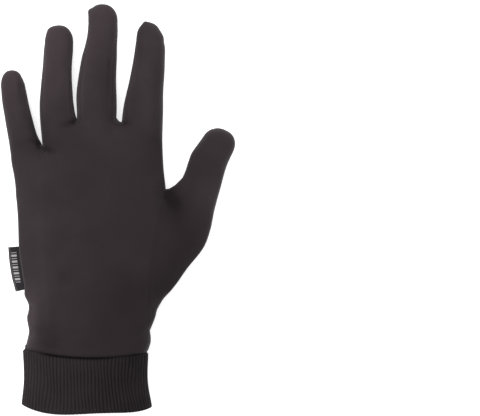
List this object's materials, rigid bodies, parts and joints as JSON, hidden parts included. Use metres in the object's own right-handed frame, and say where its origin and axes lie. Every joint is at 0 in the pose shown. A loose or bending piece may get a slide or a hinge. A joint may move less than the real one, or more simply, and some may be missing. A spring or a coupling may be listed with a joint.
{
  "type": "motorcycle glove",
  "caption": "Thin knitted under-glove for a motorcycle rider's left hand, with fingers and a thumb open inside and a ribbed cuff.",
  "frame": {"origin": "on the surface that the glove rests on, under the middle of its outline", "axes": "+X to the thumb side, +Y to the fingertips, +Z out of the back of the hand"},
  "size_m": [0.1457, 0.2562, 0.0354],
  "materials": {
    "hand_knit": "fine knit, soft sheen",
    "rib_knit": "ribbed knit, matt",
    "label_tape": "woven tape, satin"
  },
  "bodies": {
    "root": {"back_panel": "hand_knit", "palm_panel": "hand_knit", "fourchette_little_ring": "hand_knit", "fourchette_ring_middle": "hand_knit", "fourchette_middle_index": "hand_knit", "thumb_panel": "hand_knit", "rib_cuff": "rib_knit", "side_label": "label_tape"}
  },
  "joints": []
}
